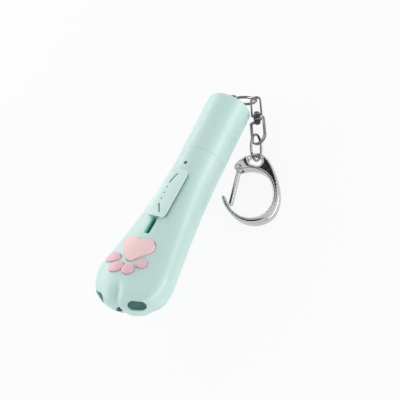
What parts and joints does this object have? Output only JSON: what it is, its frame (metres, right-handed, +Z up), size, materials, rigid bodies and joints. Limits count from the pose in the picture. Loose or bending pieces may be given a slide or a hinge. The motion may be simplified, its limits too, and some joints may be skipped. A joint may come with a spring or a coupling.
{
  "type": "cat laser pointer",
  "caption": "Cat paw laser pointer with a mint handle, pink pads, thumb slider, heart button, pull-off tail cap over a charging plug, and a swivel key clasp.",
  "frame": {"origin": "on the table under the handle axis, at the seam between the tail cap and the body", "axes": "+X along the handle towards the paw, +Y across, +Z up out of the pads"},
  "size_m": [0.1174, 0.056, 0.0242],
  "materials": {
    "mint_shell": "smooth moulded, satin gloss",
    "mint_slider": "smooth moulded",
    "heart_pink": "smooth moulded",
    "toe_pink": "smooth moulded",
    "zinc": "plated",
    "black_plastic": "moulded",
    "white_plastic": "moulded",
    "board_green": "solder mask",
    "battery_wrap": "shrink sleeve",
    "brass": "turned",
    "lens_glass": "polished",
    "lamp_clear": "clear epoxy",
    "lamp_violet": "tinted epoxy",
    "window_dark": "tinted window",
    "light_pipe": "frosted",
    "plug_steel": "plated",
    "chrome": "polished plating"
  },
  "bodies": {
    "body": {"upper_shell": "mint_shell", "lower_shell": "mint_shell", "shell_screws": "zinc", "toe_pad_1": "toe_pink", "toe_pad_2": "toe_pink", "toe_pad_3": "toe_pink", "toe_pad_4": "toe_pink", "switch_body": "black_plastic", "circuit_board": "board_green", "board_chips": "black_plastic", "touch_switch": "black_plastic", "battery": "battery_wrap", "battery_tabs": "zinc", "laser_barrel": "brass", "laser_lens": "lens_glass", "torch_led": "lamp_clear", "uv_led": "lamp_violet", "laser_window": "window_dark", "torch_window": "window_dark", "uv_window": "window_dark", "indicator_pipe": "light_pipe", "indicator_led": "lamp_clear", "plug_collar": "white_plastic", "plug_shell": "plug_steel", "plug_tongue": "white_plastic", "plug_contacts": "brass"},
    "slider": {"thumb_slider": "mint_slider", "switch_lever": "black_plastic"},
    "heart": {"heart_button": "heart_pink", "touch_plunger": "white_plastic"},
    "cap": {"tail_cap": "mint_shell"},
    "eye": {"tail_eye": "chrome"},
    "ring": {"tail_ring": "chrome"},
    "swivel": {"upper_stirrup": "chrome", "swivel_rivet": "chrome"},
    "stirrup": {"lower_stirrup": "chrome"},
    "link": {"jump_ring": "chrome"},
    "clasp": {"clasp_body": "chrome", "gate_pin": "chrome"},
    "gate": {"clasp_gate": "chrome"}
  },
  "joints": [
    {"name": "thumb_switch", "type": "slide", "parent": "body", "child": "slider", "axis": [0.9988, 0, 0.048], "range_m": [0, 0.008]},
    {"name": "heart_press", "type": "slide", "parent": "body", "child": "heart", "axis": [0.0996, 0, -0.995], "range_m": [0, 0.0006], "stiffness_N_per_m": 2500},
    {"name": "cap_pull", "type": "slide", "parent": "body", "child": "cap", "axis": [-1, 0, 0], "range_m": [0, 0.03]},
    {"name": "eye_turn", "type": "hinge", "parent": "cap", "child": "eye", "pos_m": [-0.0338, 0, 0.00985], "axis": [1, 0, 0], "range_deg": [0, 160]},
    {"name": "ring_swing", "type": "hinge", "parent": "eye", "child": "ring", "pos_m": [-0.0338, 0, 0.00985], "axis": [0, 0, 1], "range_deg": [0, 30]},
    {"name": "swivel_swing", "type": "hinge", "parent": "ring", "child": "swivel", "pos_m": [-0.038, 0.0076, 0.0046], "axis": [0, 0, 1], "range_deg": [0, 30]},
    {"name": "swivel_turn", "type": "hinge", "parent": "swivel", "child": "stirrup", "pos_m": [-0.02909, 0.01214, 0.00455], "axis": [0.891, 0.454, -0.0052], "continuous": true},
    {"name": "link_lift", "type": "hinge", "parent": "stirrup", "child": "link", "pos_m": [-0.01608, 0.01877, 0.00447], "axis": [0.1908, -0.9816, 0], "range_deg": [0, 40]},
    {"name": "clasp_swing", "type": "hinge", "parent": "link", "child": "clasp", "pos_m": [-0.00875, 0.02031, 0.0051], "axis": [0, 0, 1], "range_deg": [-10, 25]},
    {"name": "gate_open", "type": "hinge", "parent": "clasp", "child": "gate", "pos_m": [-0.00158, 0.01551, 0.00453], "axis": [0.1006, 0.0331, 0.9944], "range_deg": [0, 28], "stiffness_Nm_per_rad": 0.02}
  ]
}
